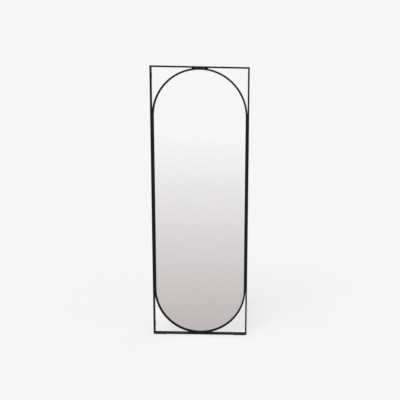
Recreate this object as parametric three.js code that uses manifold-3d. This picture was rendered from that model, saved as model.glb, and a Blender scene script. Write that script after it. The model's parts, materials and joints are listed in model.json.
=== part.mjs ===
// Leaning floor mirror: a capsule-shaped silvered glass in a rolled steel ring,
// welded inside a slim rectangular frame of steel tube.
// Millimetres. +X is to the viewer's right, +Y runs from the glass to the wall, +Z is up.
// The origin is at floor level, in the middle of the width and of the whole depth.
import * as THREE from "three";
import { mergeVertices } from "three/addons/utils/BufferGeometryUtils.js";
import Module from "manifold-3d";

const wasm = await Module();
wasm.setup();

// Outer frame of mitred rectangular tube
const frameWidth = 600;
const frameHeight = 1700;
const tubeFace = 10;
const tubeDepth = 25;
const tubeWall = 1.2;
const tubeCornerRadius = 1;

// Ring of rolled angle that holds the glass: a wall along the depth and a lip in front
const ringWall = 3;
const lipFace = 11;
const lipThickness = 3;
const ringEdgeBreak = 0.5;

// Glass and what lies behind it; the foam fills what is left of the depth
const tapeThickness = 4;
const tapeWidth = 5;
const tapeInset = 0.5;
const glassThickness = 4;
const glassArris = 0.6;
const boardThickness = 9;
const boardEdgeBreak = 0.5;
const glassPlay = 1;
const foamInset = 4;

// Flat bar across the back, with a hanger at each side
const barWidth = 30;
const barThickness = 3;
const barBelowArc = 70;
const barEndInset = 2;
const barCornerRadius = 2;
const hangerFromSide = 110;

// Hanger: a strap folded round the straight side of a D-shaped wire ring
const strapWidth = 12;
const strapLength = 36;
const strapSheet = 1.2;
const strapFoldRun = 7;
const strapFoldDegrees = 150;
const ringWire = 3;
const ringBarHalf = 6.7;
const ringBend = 4;
const ringPlay = 0.3;
const strapScrewFirst = 13;
const strapScrewPitch = 15;

// Turn buttons that hold the back board
const buttonReach = 20;
const buttonThickness = 1.5;
const buttonsEachSide = 3;
const buttonEndMargin = 80;

// Pan-head screws
const screwShank = 3.5;
const screwHead = 7;
const screwHeadHeight = 2.2;
const screwHeadCrown = 1;
const frameScrewLength = 12;
const strapScrewLength = 4.8;
const screwPlay = 0.3;

// Weld beads on the back of the seams between ring and frame
const beadLength = 30;
const beadWidth = 5;
const beadHeight = 1.1;
const beadOffCentre = 38;

// Rubber parts
const padThickness = 2;
const padLength = 70;
const padEndInset = 12;
const padEdgeInset = 0.5;
const padCorner = 2;
const bumperLength = 40;
const bumperThickness = 10;
const bumperFromEnd = 60;
const bumperSideInset = 0.5;
const bumperEdge = 1;
const bumperCorner = 3;

// Fits and fineness
const seatGap = 0.05;
const arcSegments = 72;
const roundSegments = 16;
const bendSegments = 8;
const tailSegments = 4;
const cornerSegments = 2;
const crownRings = 2;
const beadRings = 3;
const wireSteps = 40;
const wireSides = 8;
const mergeDistance = 1e-4;
const cutMargin = 1;

// Values worked out from the sizes above
const quarterTurn = Math.PI / 2;
const bothSides = [["left", -1], ["right", 1]];
const ringRadius = frameWidth / 2 - tubeFace - seatGap;
const ringInside = ringRadius - ringWall;
const lipInside = ringRadius - lipFace;
const glassRadius = ringInside - glassPlay;
const straightHalf = frameHeight / 2 - frameWidth / 2;
const tapeFront = lipThickness + seatGap;
const glassFront = tapeFront + tapeThickness + seatGap;
const foamFront = glassFront + glassThickness + seatGap;
const boardFront = tubeDepth - boardThickness;
const foamThickness = boardFront - seatGap - foamFront;
const backFace = tubeDepth + seatGap;
const barBack = backFace + barThickness;
const tubeMiddle = tubeFace / 2;
const stileMiddle = frameWidth / 2 - tubeMiddle;
const hangerPlace = frameWidth / 2 - hangerFromSide;
const barHeight = frameHeight - frameWidth / 2 - barBelowArc;
const wholeDepth = backFace + bumperThickness;
const buttonWidth = tubeFace;
const loopHole = ringWire / 2 + ringPlay;
const loopRadius = loopHole + strapSheet;
const foldedThickness = 2 * strapSheet;

// Materials
function steelPaint() {
  return new THREE.MeshStandardMaterial({ color: 0x1d1c1c, roughness: 0.5, metalness: 0.35 });
}

function zincPlate() {
  return new THREE.MeshStandardMaterial({ color: 0xb4b7b8, roughness: 0.35, metalness: 0.9 });
}

function silveredGlass() {
  return new THREE.MeshStandardMaterial({ color: 0xeef0f0, roughness: 0.03, metalness: 1 });
}

function greyFoam() {
  return new THREE.MeshStandardMaterial({ color: 0x8c8d8f, roughness: 0.95, metalness: 0 });
}

function blackFoam() {
  return new THREE.MeshStandardMaterial({ color: 0x1b1b1b, roughness: 0.95, metalness: 0 });
}

function fibreboard() {
  return new THREE.MeshStandardMaterial({ color: 0x9a7650, roughness: 0.85, metalness: 0 });
}

function blackRubber() {
  return new THREE.MeshStandardMaterial({ color: 0x161616, roughness: 0.8, metalness: 0 });
}

// Solids for cutting, and the geometry of what is left
function solidOf(geometry) {
  const bare = geometry.clone();
  bare.deleteAttribute("normal");
  bare.deleteAttribute("uv");
  const merged = mergeVertices(bare, mergeDistance);
  const vertProperties = merged.attributes.position.array;
  const triVerts = new Uint32Array(merged.index.array);
  return new wasm.Manifold(new wasm.Mesh({ numProp: 3, vertProperties, triVerts }));
}

function geometryOf(solid) {
  const made = solid.getMesh();
  const geometry = new THREE.BufferGeometry();
  geometry.setAttribute("position", new THREE.BufferAttribute(made.vertProperties, 3));
  geometry.setIndex(new THREE.BufferAttribute(made.triVerts, 1));
  geometry.computeVertexNormals();
  return geometry;
}

function cutAway(geometry, tools) {
  let left = solidOf(geometry);
  for (const tool of tools) {
    left = left.subtract(solidOf(tool));
  }
  return geometryOf(left);
}

// A screw hole along the depth, from one depth to another
function holeTool(x, z, from, to) {
  const radius = screwShank / 2 + screwPlay;
  const tool = new THREE.CylinderGeometry(radius, radius, to - from, roundSegments);
  return tool.translate(x, (from + to) / 2, z);
}

function moveVertices(geometry, place) {
  const position = geometry.attributes.position;
  const point = new THREE.Vector3();
  for (let i = 0; i < position.count; i += 1) {
    place(point.fromBufferAttribute(position, i));
    position.setXYZ(i, point.x, point.y, point.z);
  }
  geometry.computeVertexNormals();
  return geometry;
}

// Outlines
// A quarter of an ellipse from its rim to the axis, lifted by a height
function quarterArc(across, up, steps, lift = 0) {
  const arc = [];
  for (let i = 0; i < steps; i += 1) {
    const angle = (quarterTurn * i) / steps;
    arc.push(new THREE.Vector2(across * Math.cos(angle), lift + up * Math.sin(angle)));
  }
  arc.push(new THREE.Vector2(0, lift + up));
  return arc;
}

function capsuleOutline(radius, half) {
  const outline = new THREE.Shape();
  outline.moveTo(radius, -half);
  outline.lineTo(radius, half);
  outline.absarc(0, half, radius, 0, Math.PI);
  outline.lineTo(-radius, -half);
  outline.absarc(0, -half, radius, Math.PI, 2 * Math.PI);
  return outline;
}

function roundedBox(left, bottom, width, height, radius) {
  const right = left + width;
  const top = bottom + height;
  const outline = new THREE.Shape();
  outline.moveTo(left + radius, bottom);
  outline.absarc(right - radius, bottom + radius, radius, -quarterTurn, 0);
  outline.absarc(right - radius, top - radius, radius, 0, quarterTurn);
  outline.absarc(left + radius, top - radius, radius, quarterTurn, 2 * quarterTurn);
  outline.absarc(left + radius, bottom + radius, radius, 2 * quarterTurn, 3 * quarterTurn);
  return outline;
}

// An outline in X and Z, given a thickness along the depth from zero, with broken edges if asked
function sheet(outline, thickness, segments, edge = 0) {
  const geometry = new THREE.ExtrudeGeometry(outline, {
    depth: thickness - 2 * edge,
    curveSegments: segments,
    bevelEnabled: edge > 0,
    bevelThickness: edge,
    bevelSize: edge,
    bevelOffset: -edge,
    bevelSegments: 1,
  });
  return geometry.rotateX(quarterTurn).translate(0, thickness - edge, 0);
}

// Frame: one member is a tube with a mitre at each end, lying along X with its outer face down
function mitredTube(length, holes) {
  const section = roundedBox(0, 0, tubeFace, tubeDepth, tubeCornerRadius);
  const inside = tubeWall;
  const core = new THREE.Path();
  core.moveTo(inside, inside);
  core.lineTo(inside, tubeDepth - inside);
  core.lineTo(tubeFace - inside, tubeDepth - inside);
  core.lineTo(tubeFace - inside, inside);
  core.closePath();
  section.holes.push(core);
  const options = { depth: length, curveSegments: cornerSegments, bevelEnabled: false };
  const tube = new THREE.ExtrudeGeometry(section, options);
  moveVertices(tube, (point) => {
    const reach = length / 2 - point.x - seatGap;
    point.set(point.z > 0 ? -reach : reach, point.y, point.x);
  });
  const from = tubeDepth - tubeWall - cutMargin;
  const to = tubeDepth + cutMargin;
  return cutAway(tube, holes.map((x) => holeTool(x, tubeMiddle, from, to)));
}

function outerFrame(sideHoles) {
  const frame = new THREE.Group();
  frame.position.z = frameHeight / 2;
  const fromMiddle = sideHoles.map((z) => z - frameHeight / 2);
  const members = [
    ["bottom_rail", frameWidth, frameHeight, 0, [0]],
    ["left_stile", frameHeight, frameWidth, quarterTurn, fromMiddle.map((z) => -z)],
    ["top_rail", frameWidth, frameHeight, Math.PI, [0]],
    ["right_stile", frameHeight, frameWidth, -quarterTurn, fromMiddle],
  ];
  for (const [name, length, across, turn, holes] of members) {
    const side = new THREE.Group();
    side.rotation.y = turn;
    side.add(named(name, mitredTube(length, holes), steelPaint(), 0, 0, -across / 2));
    frame.add(side);
  }
  return frame;
}

// Ring: the section of the angle, in radius and depth
function angleSection() {
  const section = new THREE.Shape();
  section.moveTo(lipInside, 0);
  section.lineTo(ringRadius - ringEdgeBreak, 0);
  section.lineTo(ringRadius, ringEdgeBreak);
  section.lineTo(ringRadius, tubeDepth);
  section.lineTo(ringInside, tubeDepth);
  section.lineTo(ringInside, lipThickness);
  section.lineTo(lipInside, lipThickness);
  section.closePath();
  return section;
}

function straightAngle() {
  const length = 2 * (straightHalf - seatGap);
  const bar = new THREE.ExtrudeGeometry(angleSection(), { depth: length, bevelEnabled: false });
  return bar.translate(0, 0, -length / 2);
}

function rolledAngle() {
  const options = { depth: Math.PI, steps: arcSegments, bevelEnabled: false };
  const bar = new THREE.ExtrudeGeometry(angleSection(), options);
  return moveVertices(bar, (point) => {
    const radius = point.x;
    const angle = point.z;
    point.set(radius * Math.cos(angle), point.y, radius * Math.sin(angle));
  });
}

function mirrorRing() {
  const ring = new THREE.Group();
  ring.position.z = frameHeight / 2;
  const halves = [
    ["ring_right_side", "ring_top_arc", 0],
    ["ring_left_side", "ring_bottom_arc", Math.PI],
  ];
  for (const [sideName, arcName, turn] of halves) {
    const half = new THREE.Group();
    half.rotation.y = turn;
    half.add(named(sideName, straightAngle(), steelPaint()));
    half.add(named(arcName, rolledAngle(), steelPaint(), 0, 0, straightHalf));
    ring.add(half);
  }
  return ring;
}

// A weld bead is a flat-bottomed dome, drawn out along its seam
function weldBead() {
  const profile = [new THREE.Vector2(0, 0), ...quarterArc(1, 1, beadRings)];
  return new THREE.LatheGeometry(profile, roundSegments);
}

function welds(sideHeights) {
  const group = new THREE.Group();
  const add = (name, x, z, lengthX, lengthZ) => {
    const bead = named(name, weldBead(), steelPaint(), x, backFace, z);
    bead.scale.set(lengthX / 2, beadHeight, lengthZ / 2);
    group.add(bead);
  };
  const crown = Math.sqrt(ringRadius ** 2 - beadOffCentre ** 2);
  const seam = (frameHeight / 2 - tubeFace + straightHalf + crown) / 2;
  for (const [sideName, side] of bothSides) {
    for (const [endName, end] of [["bottom", -1], ["top", 1]]) {
      const z = frameHeight / 2 + end * seam;
      add(`weld_${endName}_${sideName}`, side * beadOffCentre, z, beadLength, beadWidth);
    }
    sideHeights.forEach((z, i) => {
      add(`weld_${sideName}_${i + 1}`, side * ringRadius, z, beadWidth, beadLength);
    });
  }
  return group;
}

// Everything that the ring holds, from the lip to the back
function glazing() {
  const group = new THREE.Group();
  group.position.z = frameHeight / 2;
  const tape = capsuleOutline(lipInside + tapeInset + tapeWidth, straightHalf);
  tape.holes.push(capsuleOutline(lipInside + tapeInset, straightHalf));
  const pane = capsuleOutline(glassRadius, straightHalf);
  const foam = capsuleOutline(glassRadius - foamInset, straightHalf);
  const layers = [
    ["glazing_tape", tape, tapeThickness, 0, blackFoam(), tapeFront],
    ["mirror_glass", pane, glassThickness, glassArris, silveredGlass(), glassFront],
    ["packing_foam", foam, foamThickness, 0, greyFoam(), foamFront],
    ["back_board", pane, boardThickness, boardEdgeBreak, fibreboard(), boardFront],
  ];
  for (const [name, outline, thickness, edge, material, front] of layers) {
    group.add(named(name, sheet(outline, thickness, arcSegments / 2, edge), material, 0, front));
  }
  return group;
}

// A pan-head screw pointing to the front, with the underside of its head at zero depth
function panScrew(length) {
  const shank = screwShank / 2;
  const head = screwHead / 2;
  const rim = screwHeadHeight - screwHeadCrown;
  const profile = [
    new THREE.Vector2(0, -length),
    new THREE.Vector2(shank, -length),
    new THREE.Vector2(shank, 0),
    new THREE.Vector2(head, 0),
    ...quarterArc(head, screwHeadCrown, crownRings, rim),
  ];
  return new THREE.LatheGeometry(profile, roundSegments);
}

// Turn button: a rounded strip that pivots on its screw, pointing along +X
function buttonStrip() {
  const end = buttonWidth / 2;
  const outline = new THREE.Shape();
  outline.absarc(0, 0, end, quarterTurn, 3 * quarterTurn);
  outline.absarc(buttonReach - end, 0, end, -quarterTurn, quarterTurn);
  const hole = new THREE.Path();
  hole.absarc(0, 0, screwShank / 2 + screwPlay, 0, 2 * Math.PI);
  outline.holes.push(hole);
  return sheet(outline, buttonThickness, bendSegments);
}

function turnButton(place, x, z, turn) {
  const group = new THREE.Group();
  group.position.set(x, backFace, z);
  group.rotation.y = turn;
  const underHead = buttonThickness + seatGap;
  group.add(named(`turn_button_${place}`, buttonStrip(), zincPlate()));
  group.add(named(`turn_screw_${place}`, panScrew(frameScrewLength), zincPlate(), 0, underHead));
  return group;
}

function turnButtons(sideHeights) {
  const group = new THREE.Group();
  group.add(turnButton("bottom", 0, tubeMiddle, -quarterTurn));
  group.add(turnButton("top", 0, frameHeight - tubeMiddle, quarterTurn));
  sideHeights.forEach((z, i) => {
    group.add(turnButton(`left_${i + 1}`, -stileMiddle, z, 0));
    group.add(turnButton(`right_${i + 1}`, stileMiddle, z, Math.PI));
  });
  return group;
}

// Bar across the back, screwed to both stiles
function hangerBar() {
  const group = new THREE.Group();
  group.position.set(0, backFace, barHeight);
  const half = frameWidth / 2 - barEndInset;
  const outline = roundedBox(-half, -barWidth / 2, 2 * half, barWidth, barCornerRadius);
  const underHead = barThickness + seatGap;
  const tools = [];
  for (const [sideName, side] of bothSides) {
    const screw = panScrew(frameScrewLength);
    group.add(named(`bar_screw_${sideName}`, screw, zincPlate(), side * stileMiddle, underHead));
    for (const x of [stileMiddle, ...strapScrewReaches().map((reach) => hangerPlace + reach)]) {
      tools.push(holeTool(side * x, 0, -cutMargin, barThickness + cutMargin));
    }
  }
  const bar = cutAway(sheet(outline, barThickness, cornerSegments), tools);
  group.add(named("hanger_bar", bar, steelPaint()));
  return group;
}

// Distances of the strap's screws from the ring's pivot
function strapScrewReaches() {
  return [strapScrewFirst, strapScrewFirst + strapScrewPitch];
}

// Strap: its folded section, with a rounded tail and two screw holes; the ring leaves along +X
function strapPlate() {
  const foldEnd = THREE.MathUtils.degToRad(strapFoldDegrees);
  const loopDiameter = 2 * loopRadius;
  const section = new THREE.Shape();
  section.moveTo(-strapLength, 0);
  section.lineTo(0, 0);
  section.absarc(0, loopRadius, loopRadius, -quarterTurn, foldEnd);
  section.lineTo(-strapFoldRun, foldedThickness);
  section.lineTo(-strapLength, foldedThickness);
  section.closePath();
  const eye = new THREE.Path();
  eye.absarc(0, loopRadius, loopHole, 0, 2 * Math.PI);
  section.holes.push(eye);
  const options = { depth: strapWidth, curveSegments: bendSegments, bevelEnabled: false };
  const strip = new THREE.ExtrudeGeometry(section, options).translate(0, 0, -strapWidth / 2);
  const tail = strapWidth / 2;
  const outline = new THREE.Shape();
  outline.moveTo(loopDiameter, -tail);
  outline.lineTo(loopDiameter, tail);
  outline.absarc(tail - strapLength, 0, tail, quarterTurn, 3 * quarterTurn);
  outline.closePath();
  const trim = sheet(outline, loopDiameter + 2 * cutMargin, tailSegments).translate(0, -cutMargin, 0);
  const trimmed = geometryOf(solidOf(strip).intersect(solidOf(trim)));
  const through = foldedThickness + cutMargin;
  return cutAway(trimmed, strapScrewReaches().map((x) => holeTool(-x, 0, -cutMargin, through)));
}

// The centre line of the D-shaped ring, with its straight side on the pivot
class RingLine extends THREE.Curve {
  constructor() {
    super();
    const big = ringBarHalf + ringBend;
    this.path = new THREE.Path();
    this.path.moveTo(0, -ringBarHalf);
    this.path.lineTo(0, ringBarHalf);
    this.path.absarc(ringBend, ringBarHalf, ringBend, Math.PI, quarterTurn, true);
    this.path.absarc(ringBend, 0, big, quarterTurn, -quarterTurn, true);
    this.path.absarc(ringBend, -ringBarHalf, ringBend, -quarterTurn, -Math.PI, true);
  }

  getPoint(t, target = new THREE.Vector3()) {
    const point = this.path.getPoint(t);
    return target.set(point.x, 0, point.y);
  }
}

function hanger(sideName, side) {
  const group = new THREE.Group();
  group.position.set(side * hangerPlace, barBack + seatGap, barHeight);
  group.rotation.y = side < 0 ? 0 : Math.PI;
  const wire = new THREE.TubeGeometry(new RingLine(), wireSteps, ringWire / 2, wireSides, true);
  const underHead = foldedThickness + seatGap;
  group.add(named(`hanger_strap_${sideName}`, strapPlate(), zincPlate()));
  group.add(named(`hanger_ring_${sideName}`, wire, zincPlate(), 0, loopRadius, 0));
  strapScrewReaches().forEach((x, i) => {
    const name = `strap_screw_${sideName}_${i + 1}`;
    group.add(named(name, panScrew(strapScrewLength), zincPlate(), -x, underHead));
  });
  return group;
}

// Rubber: pads under the bottom rail and bumpers that meet the wall
function footPad() {
  const depth = tubeDepth - 2 * padEdgeInset;
  const outline = roundedBox(-padLength / 2, -depth / 2, padLength, depth, padCorner);
  const options = { depth: padThickness, curveSegments: cornerSegments, bevelEnabled: false };
  return new THREE.ExtrudeGeometry(outline, options);
}

function wallBumper() {
  const width = tubeFace - 2 * bumperSideInset;
  const outline = roundedBox(-width / 2, -bumperLength / 2, width, bumperLength, bumperCorner);
  return sheet(outline, bumperThickness, cornerSegments, bumperEdge);
}

function rubberParts() {
  const group = new THREE.Group();
  const pad = frameWidth / 2 - padEndInset - padLength / 2;
  for (const [sideName, side] of bothSides) {
    const under = -seatGap - padThickness;
    group.add(named(`foot_pad_${sideName}`, footPad(), blackRubber(), side * pad, tubeDepth / 2, under));
    for (const [endName, z] of [["low", bumperFromEnd], ["high", frameHeight - bumperFromEnd]]) {
      const name = `wall_bumper_${endName}_${sideName}`;
      group.add(named(name, wallBumper(), blackRubber(), side * stileMiddle, backFace, z));
    }
  }
  return group;
}

function named(name, geometry, material, x = 0, y = 0, z = 0) {
  const mesh = new THREE.Mesh(geometry, material);
  mesh.name = name;
  mesh.position.set(x, y, z);
  return mesh;
}

// Heights of the side buttons, evenly spread between the lower arc and the hanger bar
function buttonHeights() {
  const lowest = frameWidth / 2 + buttonEndMargin;
  const highest = barHeight - buttonEndMargin;
  const step = (highest - lowest) / (buttonsEachSide - 1);
  return Array.from({ length: buttonsEachSide }, (_, i) => lowest + i * step);
}

function leaningMirror() {
  const sideHeights = buttonHeights();
  const betweenButtons = sideHeights.slice(1).map((z, i) => (z + sideHeights[i]) / 2);
  const standing = new THREE.Group();
  standing.position.set(0, -wholeDepth / 2, padThickness + seatGap);
  standing.add(outerFrame([...sideHeights, barHeight]));
  standing.add(mirrorRing());
  standing.add(welds(betweenButtons));
  standing.add(glazing());
  standing.add(turnButtons(sideHeights));
  standing.add(hangerBar());
  standing.add(hanger("left", -1));
  standing.add(hanger("right", 1));
  standing.add(rubberParts());
  const mirror = new THREE.Group();
  mirror.add(standing);
  return mirror;
}

export default leaningMirror();
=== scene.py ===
"""Looks of a leaning floor mirror: a capsule glass in a rolled ring, inside a slim frame of tube.

Metres. +X is to the viewer's right, +Y runs from the glass to the wall and +Z is up.
"""
import json
import math

import bmesh
import bpy
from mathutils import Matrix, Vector
from mathutils.geometry import tessellate_polygon


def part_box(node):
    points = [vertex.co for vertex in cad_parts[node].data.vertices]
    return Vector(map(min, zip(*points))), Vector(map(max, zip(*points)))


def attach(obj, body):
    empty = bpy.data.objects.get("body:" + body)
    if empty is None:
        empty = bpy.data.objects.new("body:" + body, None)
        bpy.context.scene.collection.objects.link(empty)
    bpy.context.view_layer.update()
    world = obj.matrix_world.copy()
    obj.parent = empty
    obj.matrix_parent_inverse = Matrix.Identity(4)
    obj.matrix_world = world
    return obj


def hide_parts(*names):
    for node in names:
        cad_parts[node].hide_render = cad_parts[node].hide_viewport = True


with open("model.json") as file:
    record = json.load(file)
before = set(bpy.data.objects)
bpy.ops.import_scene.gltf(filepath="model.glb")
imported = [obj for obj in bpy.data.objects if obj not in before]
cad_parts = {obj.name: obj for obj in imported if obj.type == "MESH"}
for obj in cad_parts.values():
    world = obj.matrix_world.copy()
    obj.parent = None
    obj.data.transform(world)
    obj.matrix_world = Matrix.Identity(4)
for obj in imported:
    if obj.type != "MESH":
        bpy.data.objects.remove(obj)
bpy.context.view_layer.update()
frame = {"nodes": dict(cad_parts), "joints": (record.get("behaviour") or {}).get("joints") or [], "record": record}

MM = 0.001

# Fineness of the round forms
ARC_STEPS = 180
EDGE_STEPS = 5
EDGE_MARGIN = 1.25
ROUND_STEPS = 48
WIRE_SIDES = 20
SMOOTH_ANGLE = math.radians(38)
MERGE_DISTANCE = 0.001 * MM

# Sizes that the boxes of the solids don't give
SEAT = 0.05 * MM
MITRE_SEAM = 0.01 * MM
TUBE_EDGE = 1 * MM
RING_WALL = 3 * MM
RING_EDGE = 0.6 * MM
RING_ROOT = 1 * MM
BOARD_EDGE = 0.5 * MM
BUTTON_EDGE = 0.3 * MM
BAR_EDGE = 0.4 * MM
BAR_CORNER = 2 * MM
PAD_EDGE = 0.5 * MM
BUMPER_EDGE = 1 * MM
BUMPER_CORNER = 3 * MM
GLASS_SKIN = 0.1 * MM

# Weld bead: how far its ends thin out, the pitch of its ripples, their share of the height, their bow
BEAD_RUN_OUT = 15 * MM
RIPPLE_PITCH = 2.3 * MM
RIPPLE_SHARE = 0.26
RIPPLE_BOW = 0.6
BEAD_STEPS = 84
BEAD_ACROSS = 12

# Pan-head screw with a cross recess
HEAD_HEIGHT = 2.2 * MM
HEAD_CROWN = 1 * MM
HEAD_RINGS = 22
RECESS_ARM = 0.42 * MM
RECESS_REACH = 1.95 * MM
RECESS_WALL = 0.3 * MM
RECESS_DEPTH = 1.3 * MM
RECESS_RISE = 0.55
SHANK_RADIUS = 1.75 * MM
SHANK_PLAY = 0.3 * MM
THREAD_PITCH = 0.8 * MM
THREAD_DEPTH = 0.3 * MM
THREAD_STEPS = 7
TIP_LENGTH = 1.4 * MM
TIP_SHARE = 0.35

# Turn from one screw's cross to the next one's, in radians
SCREW_TURN = 0.7

# Hanger: a strap of sheet folded round a D-shaped wire
STRAP_SHEET = 1.2 * MM
STRAP_EDGE = 0.25 * MM
STRAP_FOLD_END = 8.5 * MM
STRAP_FOLD_TURN = math.radians(236)
STRAP_STEPS = 24
STRAP_DROP_STEPS = 8
WIRE_BEND = 4 * MM
WIRE_BAR_STEPS = 8
WIRE_BEND_STEPS = 12
WIRE_BOW_STEPS = 60

# Colours in linear light
COAT_DEEP = (0.0050, 0.0048, 0.0048, 1)
COAT_SOFT = (0.0080, 0.0076, 0.0075, 1)
# The paler tone of the raised grains in the coat: a painted highlight
COAT_GRAIN_GLINT = (0.016, 0.0155, 0.0153, 1)
SILVER_COOL = (0.925, 0.93, 0.93, 1)
SILVER_CLEAR = (0.935, 0.936, 0.934, 1)
GLASS_EDGE_DEEP = (0.03, 0.10, 0.07, 1)
GLASS_EDGE_PALE = (0.06, 0.16, 0.12, 1)
BACK_PAINT_DEEP = (0.10, 0.105, 0.11, 1)
BACK_PAINT_PALE = (0.13, 0.135, 0.14, 1)
ZINC_BLUE = (0.46, 0.495, 0.555, 1)
ZINC_YELLOW = (0.69, 0.675, 0.62, 1)
RUBBER_DEEP = (0.010, 0.010, 0.010, 1)
RUBBER_BLOOM = (0.022, 0.022, 0.021, 1)

# Colours in display tones from 0 to 255
BOARD_BROWN = (156, 123, 87)
BOARD_TAN = (170, 136, 98)
BOARD_STRAND = (118, 86, 56)
BOARD_SPECK = (200, 172, 134)
TAPE_BLACK = (28, 28, 28)
FOAM_GREY = (124, 124, 126)
# How much paler each foam cell's rim is than its hollow: painted shade
FOAM_LIT_RIM_LIFT = 1.5

# Camera and the tones of the pale surroundings
CAMERA_PLACE = (0.3815, -3.8994, 1.6346)
CAMERA_TURN = (math.radians(79.215), math.radians(-1.047), math.radians(-0.425))
CAMERA_LENS = 57.19
CAMERA_SENSOR = 36
CAMERA_SHIFT = -0.17
BACKGROUND_TONE = 246
SKY_LIGHT = 0.74
SUN_SHARE = 0.26
SUN_TURN = (math.radians(32), math.radians(-14), 0.0)
SUN_SPREAD = math.radians(30)
FLOOR_REACH = 60.0
PLAIN_SHARE = 0.65
MIRROR_SHARE = 0.93

# Heights up the glass, and the tone that it shows the camera there: a painted reflection, which the floor shows
# only to glossy rays
PAINTED_REFLECTION_TONES = (
    (0.0, (188, 180, 181)),
    (0.307, (203, 195, 196)),
    (0.616, (216, 212, 213)),
    (0.892, (229, 227, 228)),
    (1.285, (246, 246, 246)),
)

# Sockets of Blender's Mix node when it mixes colours
MIX_FIRST = 6
MIX_SECOND = 7
MIX_RESULT = 2


def linear(tone):
    """The light of a display tone from 0 to 255, by the standard curve of screens."""
    share = tone / 255
    return share / 12.92 if share <= 0.04045 else ((share + 0.055) / 1.055) ** 2.4


def tint(red, green, blue):
    """The colour that shows as these tones."""
    return (linear(red), linear(green), linear(blue), 1.0)


# ---------------------------------------------------------------- materials

class Wire:
    """The output of a node, on which Python's operators add Math nodes."""

    def __init__(self, finish, socket):
        self.finish = finish
        self.socket = socket

    def maths(self, operation, first, second=0.0):
        return self.finish.node("ShaderNodeMath", {"operation": operation}, {0: first, 1: second})

    def __add__(self, other):
        return self.maths("ADD", self, other)

    def __radd__(self, other):
        return self.maths("ADD", other, self)

    def __sub__(self, other):
        return self.maths("SUBTRACT", self, other)

    def __rsub__(self, other):
        return self.maths("SUBTRACT", other, self)

    def __mul__(self, other):
        return self.maths("MULTIPLY", self, other)

    def __rmul__(self, other):
        return self.maths("MULTIPLY", other, self)

    def __truediv__(self, other):
        return self.maths("DIVIDE", self, other)

    def __rtruediv__(self, other):
        return self.maths("DIVIDE", other, self)

    def __lt__(self, other):
        return self.maths("LESS_THAN", self, other)

    def __gt__(self, other):
        return self.maths("GREATER_THAN", self, other)

    def at_least(self, other):
        return self.maths("MAXIMUM", self, other)


class Finish:
    """A node tree that is filled by expressions."""

    def __init__(self, tree):
        self.tree = tree
        tree.nodes.clear()

    def node(self, kind, settings=None, inputs=None, output=0):
        made = self.tree.nodes.new(kind)
        for name, value in (settings or {}).items():
            if name == "stops":
                self.set_stops(made.color_ramp, value)
            else:
                setattr(made, name, value)
        for name, value in (inputs or {}).items():
            self.feed(made.inputs[name], value)
        return Wire(self, made.outputs[output])

    def feed(self, socket, value):
        if isinstance(value, Wire):
            self.tree.links.new(value.socket, socket)
        else:
            socket.default_value = value

    def set_stops(self, ramp, stops):
        while len(ramp.elements) < len(stops):
            ramp.elements.new(1.0)
        for element, (place, colour) in zip(ramp.elements, stops):
            element.position = place
            element.color = colour

    def place(self, axis=None):
        """The point on the piece, or one of its coordinates, in metres."""
        point = self.node("ShaderNodeTexCoord", output="Object")
        if axis is None:
            return point
        return self.node("ShaderNodeSeparateXYZ", inputs={0: point}, output="XYZ".index(axis))

    def noise(self, per_metre, detail=3.0, roughness=0.5, stretch=None):
        """Noise from 0 to 1 with so many cells to the metre, drawn out along an axis if asked."""
        point = self.place()
        if stretch:
            point = self.node("ShaderNodeMapping", inputs={"Vector": point, "Scale": stretch})
        inputs = {"Vector": point, "Scale": per_metre, "Detail": detail, "Roughness": roughness}
        return self.node("ShaderNodeTexNoise", inputs=inputs)

    def cells(self, per_metre):
        inputs = {"Vector": self.place(), "Scale": per_metre}
        return self.node("ShaderNodeTexVoronoi", inputs=inputs)

    def mix(self, share, first, second):
        """The first colour where share is 0 and the second where it is 1."""
        return self.node(
            "ShaderNodeMix",
            {"data_type": "RGBA"},
            {"Factor": share, MIX_FIRST: first, MIX_SECOND: second},
            output=MIX_RESULT,
        )

    def ramp(self, value, *stops):
        return self.node("ShaderNodeValToRGB", {"stops": stops}, {"Fac": value})

    def bump(self, height, depth, strength=1.0):
        inputs = {"Height": height, "Distance": depth, "Strength": strength}
        return self.node("ShaderNodeBump", inputs=inputs, output="Normal")

    def shine(self, **inputs):
        """A surface from its named sockets, with the underscores read as spaces."""
        named = {name.replace("_", " "): value for name, value in inputs.items()}
        return self.node("ShaderNodeBsdfPrincipled", inputs=named, output="BSDF")

    def surface(self, shader):
        self.node_output("ShaderNodeOutputMaterial", shader)

    def node_output(self, kind, shader):
        made = self.tree.nodes.new(kind)
        self.tree.links.new(shader.socket, made.inputs["Surface"])


def new_material(name, write):
    material = bpy.data.materials.new(name)
    material.use_nodes = True
    finish = Finish(material.node_tree)
    finish.surface(write(finish))
    return material


def powder_coat(finish):
    """Black powder coat: near-black, satin, with a fine orange peel and grains of coarser powder, whose raised
    tops get a painted glint of paler colour.
    """
    patches = finish.noise(per_metre=14, detail=4)
    peel = finish.noise(per_metre=620, detail=2)
    grains = finish.noise(per_metre=2600, detail=1)
    base = finish.mix(patches, COAT_DEEP, COAT_SOFT)
    # painted highlight: the highest grains of the bump are coloured paler
    colour = finish.mix((grains > 0.6) * 0.5, base, COAT_GRAIN_GLINT)
    return finish.shine(
        Base_Color=colour,
        Roughness=0.44 + 0.1 * patches + 0.1 * grains,
        Specular_IOR_Level=0.14,
        Normal=finish.bump(peel + 0.5 * grains, depth=0.07 * MM, strength=0.8),
    )


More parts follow.
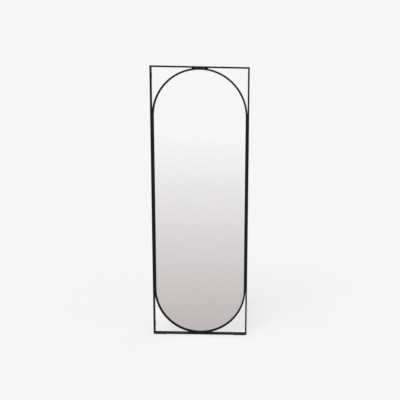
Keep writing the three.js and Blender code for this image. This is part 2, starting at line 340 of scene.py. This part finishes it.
def silvered_glass(finish):
    """Silvered float glass: a mirror in front, a green ground edge and grey paint on the back."""
    low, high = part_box("mirror_glass")
    depth = finish.place("Y")
    is_front = depth < low.y + GLASS_SKIN
    is_back = depth > high.y - GLASS_SKIN
    smears = finish.noise(per_metre=5, detail=6, roughness=0.65)
    silver = finish.mix(smears, SILVER_COOL, SILVER_CLEAR)
    edge = finish.mix(finish.noise(per_metre=300), GLASS_EDGE_DEEP, GLASS_EDGE_PALE)
    paint = finish.mix(finish.noise(per_metre=60), BACK_PAINT_DEEP, BACK_PAINT_PALE)
    rest = finish.mix(is_back, edge, paint)
    return finish.shine(
        Base_Color=finish.mix(is_front, rest, silver),
        Metallic=is_front,
        Roughness=(1 - is_front) * 0.35 + is_front * smears * 0.012,
    )


def fibreboard(finish):
    """Raw fibreboard: an even tan of pressed fibres, barely cloudy, with dark strands and pale specks."""
    cloud = finish.noise(per_metre=7, detail=3)
    upright = finish.noise(per_metre=1300, detail=3, roughness=0.6, stretch=(1.0, 1.0, 0.3))
    level = finish.noise(per_metre=1300, detail=3, roughness=0.6, stretch=(0.3, 1.0, 1.0))
    specks = finish.noise(per_metre=3000, detail=1)
    strands = upright.at_least(level)
    base = finish.mix(cloud, tint(*BOARD_BROWN), tint(*BOARD_TAN))
    dark = finish.mix((strands > 0.62) * 0.3, base, tint(*BOARD_STRAND))
    colour = finish.mix((specks > 0.66) * 0.3, dark, tint(*BOARD_SPECK))
    return finish.shine(
        Base_Color=colour,
        Roughness=0.72 + 0.16 * strands,
        Specular_IOR_Level=0.3,
        Normal=finish.bump(strands + 0.4 * specks, depth=0.04 * MM, strength=0.5),
    )


def closed_foam(finish, core):
    """Closed-cell foam: small cells, each paler on its rim and darker in its hollow, which is painted shade."""
    cells = finish.cells(per_metre=900)
    # painted shade: each cell is darker in its hollow, where the bump dips, and paler on its rim
    lit_rim = tuple(min(1.0, FOAM_LIT_RIM_LIFT * share) for share in core[:3]) + (1.0,)
    colour = finish.mix(cells, core, lit_rim)
    return finish.shine(
        Base_Color=colour,
        Roughness=0.88 + 0.08 * cells,
        Specular_IOR_Level=0.25,
        Normal=finish.bump(cells, depth=0.15 * MM, strength=0.6),
    )


def zinc_plate(finish):
    """Bright zinc on pressed steel: a faint grain, and patches that lean to blue or to yellow."""
    patches = finish.noise(per_metre=160, detail=4)
    grain = finish.noise(per_metre=1500, detail=2, stretch=(0.25, 1.0, 1.0))
    colour = finish.mix(patches, ZINC_BLUE, ZINC_YELLOW)
    return finish.shine(
        Base_Color=colour,
        Metallic=0.94 + 0.06 * patches,
        Roughness=0.24 + 0.14 * patches + 0.06 * grain,
        Normal=finish.bump(grain, depth=0.012 * MM, strength=0.5),
    )


def moulded_rubber(finish):
    """Black rubber with a dusty bloom and a fine mould texture."""
    bloom = finish.noise(per_metre=90, detail=5, roughness=0.6)
    grit = finish.noise(per_metre=1800, detail=2)
    colour = finish.mix(bloom, RUBBER_DEEP, RUBBER_BLOOM)
    return finish.shine(
        Base_Color=colour,
        Roughness=0.7 + 0.15 * bloom,
        Specular_IOR_Level=0.35,
        Normal=finish.bump(grit, depth=0.05 * MM, strength=0.7),
    )


FINISHES = {
    "black_powder_coat": new_material("black_powder_coat", powder_coat),
    "mirror": new_material("silvered_glass", silvered_glass),
    "fibreboard": new_material("fibreboard", fibreboard),
    "foam_tape": new_material("foam_tape", lambda finish: closed_foam(finish, tint(*TAPE_BLACK))),
    "foam": new_material("packing_foam", lambda finish: closed_foam(finish, tint(*FOAM_GREY))),
    "zinc_plate": new_material("zinc_plate", zinc_plate),
    "rubber": new_material("moulded_rubber", moulded_rubber),
}


# ---------------------------------------------------------------- shapes

def mesh_from(name, points, faces):
    mesh = bpy.data.meshes.new(name)
    mesh.from_pydata([tuple(point) for point in points], [], faces)
    shape = bmesh.new()
    shape.from_mesh(mesh)
    bmesh.ops.remove_doubles(shape, verts=shape.verts, dist=MERGE_DISTANCE)
    bmesh.ops.recalc_face_normals(shape, faces=shape.faces)
    shape.to_mesh(mesh)
    shape.free()
    mesh.shade_smooth()
    mesh.set_sharp_from_angle(angle=SMOOTH_ANGLE)
    return mesh


def loft(name, rings, closed=False):
    """A skin over rings of points, closed into a loop or with a cap at each end."""
    count = len(rings[0])
    points = [point for ring in rings for point in ring]
    faces = []
    spans = len(rings) if closed else len(rings) - 1
    for i in range(spans):
        here = i * count
        after = ((i + 1) % len(rings)) * count
        for j in range(count):
            k = (j + 1) % count
            faces.append((here + j, here + k, after + k, after + j))
    if not closed:
        faces.append(tuple(range(count)))
        faces.append(tuple(range(len(points) - count, len(points))))
    return mesh_from(name, points, faces)


def rounded(corners):
    """An outline from (x, y, radius) corners: a short curve with a flat margin on either side."""
    outline = []
    for i, (x, y, radius) in enumerate(corners):
        corner = Vector((x, y))
        before = Vector(corners[i - 1][:2]) - corner
        after = Vector(corners[(i + 1) % len(corners)][:2]) - corner
        start = corner + before.normalized() * radius
        end = corner + after.normalized() * radius
        outline.append(corner + (start - corner) * EDGE_MARGIN)
        for step in range(EDGE_STEPS + 1):
            t = step / EDGE_STEPS
            outline.append(start * (1 - t) ** 2 + corner * 2 * t * (1 - t) + end * t ** 2)
        outline.append(corner + (end - corner) * EDGE_MARGIN)
    return outline


def rounded_box(low, high, radius):
    (left, bottom), (right, top) = low, high
    corners = ((left, bottom), (right, bottom), (right, top), (left, top))
    return rounded([(x, y, radius) for x, y in corners])


def stadium(start, end, radius, steps=ROUND_STEPS):
    """A strip with round ends from one centre to another."""
    start, end = Vector(start), Vector(end)
    heading = math.atan2(end.y - start.y, end.x - start.x)
    outline = []
    half = steps // 2
    for centre, first in ((end, heading - math.pi / 2), (start, heading + math.pi / 2)):
        for i in range(half + 1):
            angle = first + math.pi * i / half
            outline.append((centre.x + radius * math.cos(angle), centre.y + radius * math.sin(angle)))
    return outline


def circle(centre, radius):
    angles = [2 * math.pi * i / ROUND_STEPS for i in range(ROUND_STEPS)]
    return [(centre[0] + radius * math.cos(a), centre[1] + radius * math.sin(a)) for a in angles]


def drawn_in(outline, depth):
    """The outline moved towards its left hand, corner by corner."""
    points = [Vector(point) for point in outline]
    moved = []
    for i, here in enumerate(points):
        before = (here - points[i - 1]).normalized()
        after = (points[(i + 1) % len(points)] - here).normalized()
        across = Vector((-before.y - after.y, before.x + after.x))
        moved.append(here + across * (2 * depth / across.length_squared))
    return moved


def slab(name, outline, low, high, edge, hole=None, upright=True):
    """A plate with rounded edges, thick along Y, or along Z if it lies flat."""
    loops = [outline] + ([hole[::-1]] if hole else [])
    levels = [(edge * EDGE_MARGIN, 0.0)]
    for step in range(EDGE_STEPS + 1):
        angle = math.pi / 2 * step / EDGE_STEPS
        levels.append((edge * (1 - math.sin(angle)), edge * (1 - math.cos(angle))))
    places = [(depth, low + rise) for depth, rise in levels]
    places += [(depth, high - rise) for depth, rise in reversed(levels)]
    points, faces, caps = [], [], ([], [])
    for loop in loops:
        first, count = len(points), len(loop)
        for depth, level in places:
            for point in drawn_in(loop, depth):
                points.append((point.x, level, point.y) if upright else (point.x, point.y, level))
        for i in range(len(places) - 1):
            for j in range(count):
                here, beside = first + i * count + j, first + i * count + (j + 1) % count
                faces.append((here, beside, beside + count, here + count))
        caps[0].extend(range(first, first + count))
        caps[1].extend(range(len(points) - count, len(points)))
    flat = [[Vector((p.x, p.y, 0.0)) for p in drawn_in(loop, levels[0][0])] for loop in loops]
    for triangle in tessellate_polygon(flat):
        faces.extend(tuple(cap[corner] for corner in triangle) for cap in caps)
    return mesh_from(name, points, faces)


def body_of(node):
    for body, members in frame["record"]["behaviour"]["bodies"].items():
        if node in members:
            return body


def slot_of(node):
    for row in frame["record"]["subparts"]:
        if row["node"] == node:
            return row["material_slot"]


def joint_place(name):
    for joint in frame["joints"]:
        if joint["name"] == name:
            return Vector(joint["pos_m"])


def put(mesh, node, word):
    """Shows a mesh in the place of a node, on the node's body and in its finish."""
    piece = bpy.data.objects.new(f"{node}_{word}", mesh)
    bpy.context.scene.collection.objects.link(piece)
    slot = slot_of(node)
    if not mesh.materials:
        mesh.materials.append(FINISHES[slot])
    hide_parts(node)
    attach(piece, body_of(node))
    return piece


# ---------------------------------------------------------------- frame and ring

def frame_member(node):
    """A mitred length of tube with rounded edges, its ends closed on the mitres."""
    low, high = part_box(node)
    outer_low, outer_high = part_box("left_stile")[0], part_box("right_stile")[1]
    floor_side, top_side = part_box("bottom_rail")[0].z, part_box("top_rail")[1].z
    upright = "stile" in node
    face = high.x - low.x if upright else high.z - low.z
    section = rounded_box((0.0, low.y), (face, high.y), TUBE_EDGE)
    rings = []
    for end in (-1, 1):
        ring = []
        for point in section:
            back = point.x + MITRE_SEAM
            across = outer_low.x + back if end < 0 else outer_high.x - back
            up = floor_side + back if end < 0 else top_side - back
            if upright:
                across = low.x + point.x if node == "left_stile" else high.x - point.x
            else:
                up = low.z + point.x if node == "bottom_rail" else high.z - point.x
            ring.append((across, point.y, up))
        rings.append(ring)
    put(loft(node, rings), node, "tube")


def back_board(node):
    low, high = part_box(node)
    radius = (high.x - low.x) / 2
    foot, head = low.z + radius, high.z - radius
    outline = stadium((0.0, foot), (0.0, head), radius, 2 * ARC_STEPS)
    put(slab(node, outline, low.y, high.y, BOARD_EDGE), node, "pressed")


def ring_section():
    """The angle's section as (radius, depth), with eased edges and a filled root."""
    low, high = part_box("ring_right_side")
    lip_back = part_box("glazing_tape")[0].y - SEAT
    wall = high.x - RING_WALL
    return rounded(
        [
            (low.x, low.y, RING_EDGE),
            (high.x, low.y, RING_EDGE),
            (high.x, high.y, RING_EDGE),
            (wall, high.y, RING_EDGE),
            (wall, lip_back, RING_ROOT),
            (low.x, lip_back, RING_EDGE),
        ]
    )


def ring_side(node, side):
    low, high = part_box(node)
    rings = [[(side * p.x, p.y, z) for p in ring_section()] for z in (low.z, high.z)]
    put(loft(node, rings), node, "bar")


def ring_arc(node, spring, side):
    rings = []
    for i in range(ARC_STEPS + 1):
        angle = math.pi * i / ARC_STEPS
        across, up = math.cos(angle), side * math.sin(angle)
        rings.append([(p.x * across, p.y, spring + p.x * up) for p in ring_section()])
    put(loft(node, rings), node, "rolled")


# ---------------------------------------------------------------- welds

def weld_bead(node):
    """A run of overlapping ripples that thins out at its ends, lying flat on the backs of two bars."""
    low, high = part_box(node)
    size = high - low
    centre = (low + high) / 2
    upright = size.z > size.x
    length, width = (size.z, size.x) if upright else (size.x, size.z)
    radius = width / 2
    rings = []
    for i in range(1, BEAD_STEPS):
        along = (i / BEAD_STEPS - 0.5) * length
        past = max(0.0, abs(along) - (length / 2 - BEAD_RUN_OUT)) / BEAD_RUN_OUT
        taper = 1 - past * past
        ring = [(along, 0.0, 0.0)]
        for j in range(BEAD_ACROSS + 1):
            t = 2 * j / BEAD_ACROSS - 1
            bowed = along + t * t * RIPPLE_BOW * RIPPLE_PITCH
            wave = abs(math.cos(math.pi * bowed / RIPPLE_PITCH))
            rise = size.y * (1 - t * t) * taper * (1 - RIPPLE_SHARE + RIPPLE_SHARE * wave)
            ring.append((along, t * radius * taper, rise))
        if upright:
            rings.append([(centre.x + b, low.y + c, centre.z + a) for a, b, c in ring])
        else:
            rings.append([(centre.x + a, low.y + c, centre.z + b) for a, b, c in ring])
    put(loft(node, rings), node, "bead")


# ---------------------------------------------------------------- screws

def recess(x, z):
    """How far the cross of the driver's recess goes in at a point of the head."""
    near, far = sorted((abs(x), abs(z)))
    side = min(1.0, max(0.0, (RECESS_ARM + RECESS_WALL - near) / RECESS_WALL))
    end = min(1.0, max(0.0, (RECESS_REACH + RECESS_WALL - far) / RECESS_WALL))
    slope = max(0.0, 1 - RECESS_RISE * far / RECESS_REACH)
    return RECESS_DEPTH * side * end * slope


def screw_rings(length, head_radius):
    """Rings of a pan-head screw from the middle of the recess to the tip, head at +Y."""
    angles = [math.pi * i / ROUND_STEPS for i in range(2 * ROUND_STEPS)]
    rings = []
    for i in range(1, HEAD_RINGS + 1):
        share = i / HEAD_RINGS
        crown = HEAD_HEIGHT - HEAD_CROWN * (1 - math.sqrt(1 - share ** 4))
        ring = []
        for angle in angles:
            x, z = share * head_radius * math.cos(angle), share * head_radius * math.sin(angle)
            ring.append((x, crown - recess(x, z), z))
        rings.append(ring)
    rings.append([(head_radius * math.cos(a), 0.0, head_radius * math.sin(a)) for a in angles])
    steps = int(THREAD_STEPS * length / THREAD_PITCH)
    for i in range(steps + 1):
        along = length * i / steps
        taper = min(1.0, TIP_SHARE + (1 - TIP_SHARE) * (length - along) / TIP_LENGTH)
        ring = []
        for angle in angles:
            phase = (along / THREAD_PITCH - angle / (2 * math.pi)) % 1.0
            cut = THREAD_DEPTH * abs(2 * phase - 1) * min(1.0, along / THREAD_PITCH)
            radius = (SHANK_RADIUS - cut) * taper
            ring.append((radius * math.cos(angle), -along, radius * math.sin(angle)))
        rings.append(ring)
    return rings


SCREW_MESHES = {}


def pan_screw(node, turn):
    """A screw where its node is; screws of one length share a mesh."""
    low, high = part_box(node)
    length = round(high.y - low.y - HEAD_HEIGHT, 5)
    if length not in SCREW_MESHES:
        SCREW_MESHES[length] = loft("pan_screw", screw_rings(length, (high.x - low.x) / 2))
    piece = put(SCREW_MESHES[length], node, "pan_head")
    piece.location = ((low.x + high.x) / 2, high.y - HEAD_HEIGHT, (low.z + high.z) / 2)
    piece.rotation_euler.y = turn


# ---------------------------------------------------------------- turn buttons and hangers

def turn_button(node, place):
    """A strip with round ends that reaches from its screw over the board."""
    low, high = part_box(node)
    pivot = joint_place("button_turn_" + place)
    middle = (low + high) / 2
    radius = min(high.x - low.x, high.z - low.z) / 2
    start = Vector((pivot.x, pivot.z))
    heading = (Vector((middle.x, middle.z)) - start).normalized()
    reach = max(high.x - low.x, high.z - low.z) - 2 * radius
    outline = stadium(start, start + heading * reach, radius)
    hole = circle(start, SHANK_RADIUS + SHANK_PLAY)
    put(slab(node, outline, low.y, high.y, BUTTON_EDGE, hole), node, "strip")


def flat_bar(node):
    low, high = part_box(node)
    outline = rounded_box((low.x, low.z), (high.x, high.z), BAR_CORNER)
    put(slab(node, outline, low.y, high.y, BAR_EDGE), node, "flat")


def wire_path(bar_half):
    """The D-shaped line as (x, z, heading), with its straight side on the pivot."""
    big = bar_half + WIRE_BEND
    bar = [bar_half * (2 * i / WIRE_BAR_STEPS - 1) for i in range(WIRE_BAR_STEPS + 1)]
    path = [(0.0, z, math.pi / 2) for z in bar]
    bends = [
        (WIRE_BEND, bar_half, WIRE_BEND, math.pi, math.pi / 2, WIRE_BEND_STEPS),
        (WIRE_BEND, 0.0, big, math.pi / 2, -math.pi / 2, WIRE_BOW_STEPS),
        (WIRE_BEND, -bar_half, WIRE_BEND, -math.pi / 2, -math.pi, WIRE_BEND_STEPS),
    ]
    for x, z, radius, first, last, steps in bends:
        for i in range(1, steps + 1):
            angle = first + (last - first) * i / steps
            heading = angle - math.pi / 2
            path.append((x + radius * math.cos(angle), z + radius * math.sin(angle), heading))
    return path[:-1]


def wire_ring(node, side):
    """The D-shaped ring, its straight side in the strap's fold."""
    low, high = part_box(node)
    pivot = joint_place("ring_swing_" + side)
    inward = 1 if side == "left" else -1
    radius = (high.y - low.y) / 2
    bar_half = (high.z - low.z) / 2 - radius - WIRE_BEND
    rings = []
    for x, z, heading in wire_path(bar_half):
        ring = []
        for i in range(WIRE_SIDES):
            angle = 2 * math.pi * i / WIRE_SIDES
            out = radius * math.cos(angle)
            px = x - out * math.sin(heading)
            pz = z + out * math.cos(heading)
            ring.append((pivot.x + inward * px, pivot.y + radius * math.sin(angle), pivot.z + pz))
        rings.append(ring)
    put(loft(node, rings, closed=True), node, "wire")


def strap_line(centre, length):
    """The folded strap's middle line as (x, y): in along the bar, round the wire and back."""
    half = STRAP_SHEET / 2
    radius = centre - half
    top = STRAP_SHEET + half + SEAT
    line = [(-length * (1 - i / STRAP_STEPS), half) for i in range(STRAP_STEPS)]
    for i in range(STRAP_STEPS + 1):
        angle = STRAP_FOLD_TURN * i / STRAP_STEPS - math.pi / 2
        line.append((radius * math.cos(angle), centre + radius * math.sin(angle)))
    x, y = line[-1]
    for i in range(1, STRAP_DROP_STEPS + 1):
        t = i / STRAP_DROP_STEPS
        ease = t * t * (3 - 2 * t)
        line.append((x - (STRAP_FOLD_END + x) * t, y + (top - y) * ease))
    for i in range(1, STRAP_STEPS + 1):
        line.append((-STRAP_FOLD_END - (length - STRAP_FOLD_END) * i / STRAP_STEPS, top))
    return line


def folded_strap(node, side):
    """The strap of the hanger, rounded at its tail."""
    low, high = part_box(node)
    pivot = joint_place("ring_swing_" + side)
    inward = 1 if side == "left" else -1
    reach = pivot.x - low.x if inward > 0 else high.x - pivot.x
    half_width = (high.z - low.z) / 2
    line = strap_line(pivot.y - low.y, reach - SEAT)
    rings = []
    for i, (x, y) in enumerate(line):
        before, after = line[max(0, i - 1)], line[min(len(line) - 1, i + 1)]
        heading = math.atan2(after[1] - before[1], after[0] - before[0])
        tail = max(0.0, half_width - reach - x) / half_width
        width = half_width * math.sqrt(1 - tail * tail)
        ring = []
        for point in rounded_box((-STRAP_SHEET / 2, -width), (STRAP_SHEET / 2, width), STRAP_EDGE):
            px = x - point.x * math.sin(heading)
            py = y + point.x * math.cos(heading)
            ring.append((pivot.x + inward * px, low.y + py, pivot.z + point.y))
        rings.append(ring)
    put(loft(node, rings), node, "folded")


# ---------------------------------------------------------------- rubber

def foot_pad(node):
    low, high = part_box(node)
    outline = rounded_box((low.x, low.y), (high.x, high.y), high.z - low.z)
    put(slab(node, outline, low.z, high.z, PAD_EDGE, upright=False), node, "moulded")


def wall_bumper(node):
    low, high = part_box(node)
    outline = rounded_box((low.x, low.z), (high.x, high.z), BUMPER_CORNER)
    put(slab(node, outline, low.y, high.y, BUMPER_EDGE), node, "moulded")


# ---------------------------------------------------------------- surroundings

def pale_floor(finish):
    """A pale floor with a faint shadow and a painted reflection: to glossy rays alone it glows grey near the
    glass's foot, fading with distance, so the glass shows soft greys.
    """
    camera_ray = finish.node("ShaderNodeLightPath", output="Is Camera Ray")
    glossy_ray = finish.node("ShaderNodeLightPath", output="Is Glossy Ray")
    glass_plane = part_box("mirror_glass")[0].y
    camera_away = glass_plane - CAMERA_PLACE[1]
    ahead = (glass_plane - finish.place("Y")).at_least(0.0)
    rise = ahead / (ahead + camera_away)
    stops = [(height / CAMERA_PLACE[2], glass_tint(*tone)) for height, tone in PAINTED_REFLECTION_TONES]
    seen = finish.ramp(rise, *stops)
    pale = tint(BACKGROUND_TONE, BACKGROUND_TONE, BACKGROUND_TONE)
    lit = finish.shine(Base_Color=pale, Roughness=1.0, Specular_IOR_Level=0.0)
    plain = finish.node("ShaderNodeEmission", inputs={"Color": pale, "Strength": 1.0})
    # painted reflection: an emission in the glass's tones, which only glossy rays see
    painted_reflection = finish.node("ShaderNodeEmission", inputs={"Color": seen, "Strength": 1.0})
    share = camera_ray * PLAIN_SHARE
    faint = finish.node("ShaderNodeMixShader", inputs={0: share, 1: lit, 2: plain})
    # glossy rays get the painted reflection, all other rays the plain floor
    return finish.node("ShaderNodeMixShader", inputs={0: glossy_ray, 1: faint, 2: painted_reflection})


def glass_tint(red, green, blue):
    """The light that shows as this tone after the mirror has taken its share."""
    return tuple(min(1.0, share / MIRROR_SHARE) for share in tint(red, green, blue)[:3]) + (1.0,)


def make_floor():
    corners = [(-1, -1), (1, -1), (1, 1), (-1, 1)]
    points = [(x * FLOOR_REACH, y * FLOOR_REACH, 0.0) for x, y in corners]
    floor = bpy.data.objects.new("floor", mesh_from("floor", points, [(0, 1, 2, 3)]))
    bpy.context.scene.collection.objects.link(floor)
    floor.data.materials.append(new_material("pale_floor", pale_floor))


def make_sky():
    world = bpy.data.worlds.new("pale_sky")
    world.use_nodes = True
    bpy.context.scene.world = world
    finish = Finish(world.node_tree)
    backdrop = tint(BACKGROUND_TONE, BACKGROUND_TONE, BACKGROUND_TONE)
    mirrored = glass_tint(BACKGROUND_TONE, BACKGROUND_TONE, BACKGROUND_TONE)
    white = (1.0, 1.0, 1.0, 1.0)
    light = finish.node("ShaderNodeBackground", inputs={"Color": white, "Strength": SKY_LIGHT})
    seen = finish.node("ShaderNodeBackground", inputs={"Color": backdrop, "Strength": 1.0})
    gloss = finish.node("ShaderNodeBackground", inputs={"Color": mirrored, "Strength": 1.0})
    camera_ray = finish.node("ShaderNodeLightPath", output="Is Camera Ray")
    glossy_ray = finish.node("ShaderNodeLightPath", output="Is Glossy Ray")
    mirrored_sky = finish.node("ShaderNodeMixShader", inputs={0: glossy_ray, 1: light, 2: gloss})
    sky = finish.node("ShaderNodeMixShader", inputs={0: camera_ray, 1: mirrored_sky, 2: seen})
    finish.node_output("ShaderNodeOutputWorld", sky)


def make_sun():
    lamp = bpy.data.lights.new("soft_key", "SUN")
    steepness = math.cos(SUN_TURN[0]) * math.cos(SUN_TURN[1])
    lamp.energy = math.pi * SUN_SHARE / steepness
    lamp.angle = SUN_SPREAD
    key = bpy.data.objects.new("soft_key", lamp)
    key.rotation_euler = SUN_TURN
    bpy.context.scene.collection.objects.link(key)


def make_camera():
    lens = bpy.data.cameras.new("camera")
    lens.lens = CAMERA_LENS
    lens.sensor_width = CAMERA_SENSOR
    lens.shift_x = CAMERA_SHIFT
    camera = bpy.data.objects.new("camera", lens)
    camera.location = CAMERA_PLACE
    camera.rotation_euler = CAMERA_TURN
    bpy.context.scene.collection.objects.link(camera)
    bpy.context.scene.camera = camera


# ---------------------------------------------------------------- the mirror

def dress_nodes():
    """Gives every node its finish; those that a finer piece stands for keep it out of sight."""
    for node, solid in frame["nodes"].items():
        solid.data.materials.clear()
        solid.data.materials.append(FINISHES[slot_of(node)])


def nodes_named(start):
    return sorted(node for node in frame["nodes"] if node.startswith(start))


def make_mirror():
    dress_nodes()
    for node in ("bottom_rail", "top_rail", "left_stile", "right_stile"):
        frame_member(node)
    back_board("back_board")
    ring_side("ring_left_side", -1)
    ring_side("ring_right_side", 1)
    ring_arc("ring_top_arc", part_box("ring_top_arc")[0].z, 1)
    ring_arc("ring_bottom_arc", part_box("ring_bottom_arc")[1].z, -1)
    for node in nodes_named("weld_"):
        weld_bead(node)
    screws = nodes_named("turn_screw_") + nodes_named("bar_screw_") + nodes_named("strap_screw_")
    for i, node in enumerate(screws):
        pan_screw(node, SCREW_TURN * i)
    for node in nodes_named("turn_button_"):
        turn_button(node, node.replace("turn_button_", ""))
    flat_bar("hanger_bar")
    for side in ("left", "right"):
        wire_ring("hanger_ring_" + side, side)
        folded_strap("hanger_strap_" + side, side)
        foot_pad("foot_pad_" + side)
    for node in nodes_named("wall_bumper_"):
        wall_bumper(node)


make_camera()
make_floor()
make_sky()
make_sun()
make_mirror()

bpy.context.scene.view_settings.view_transform = "Standard"
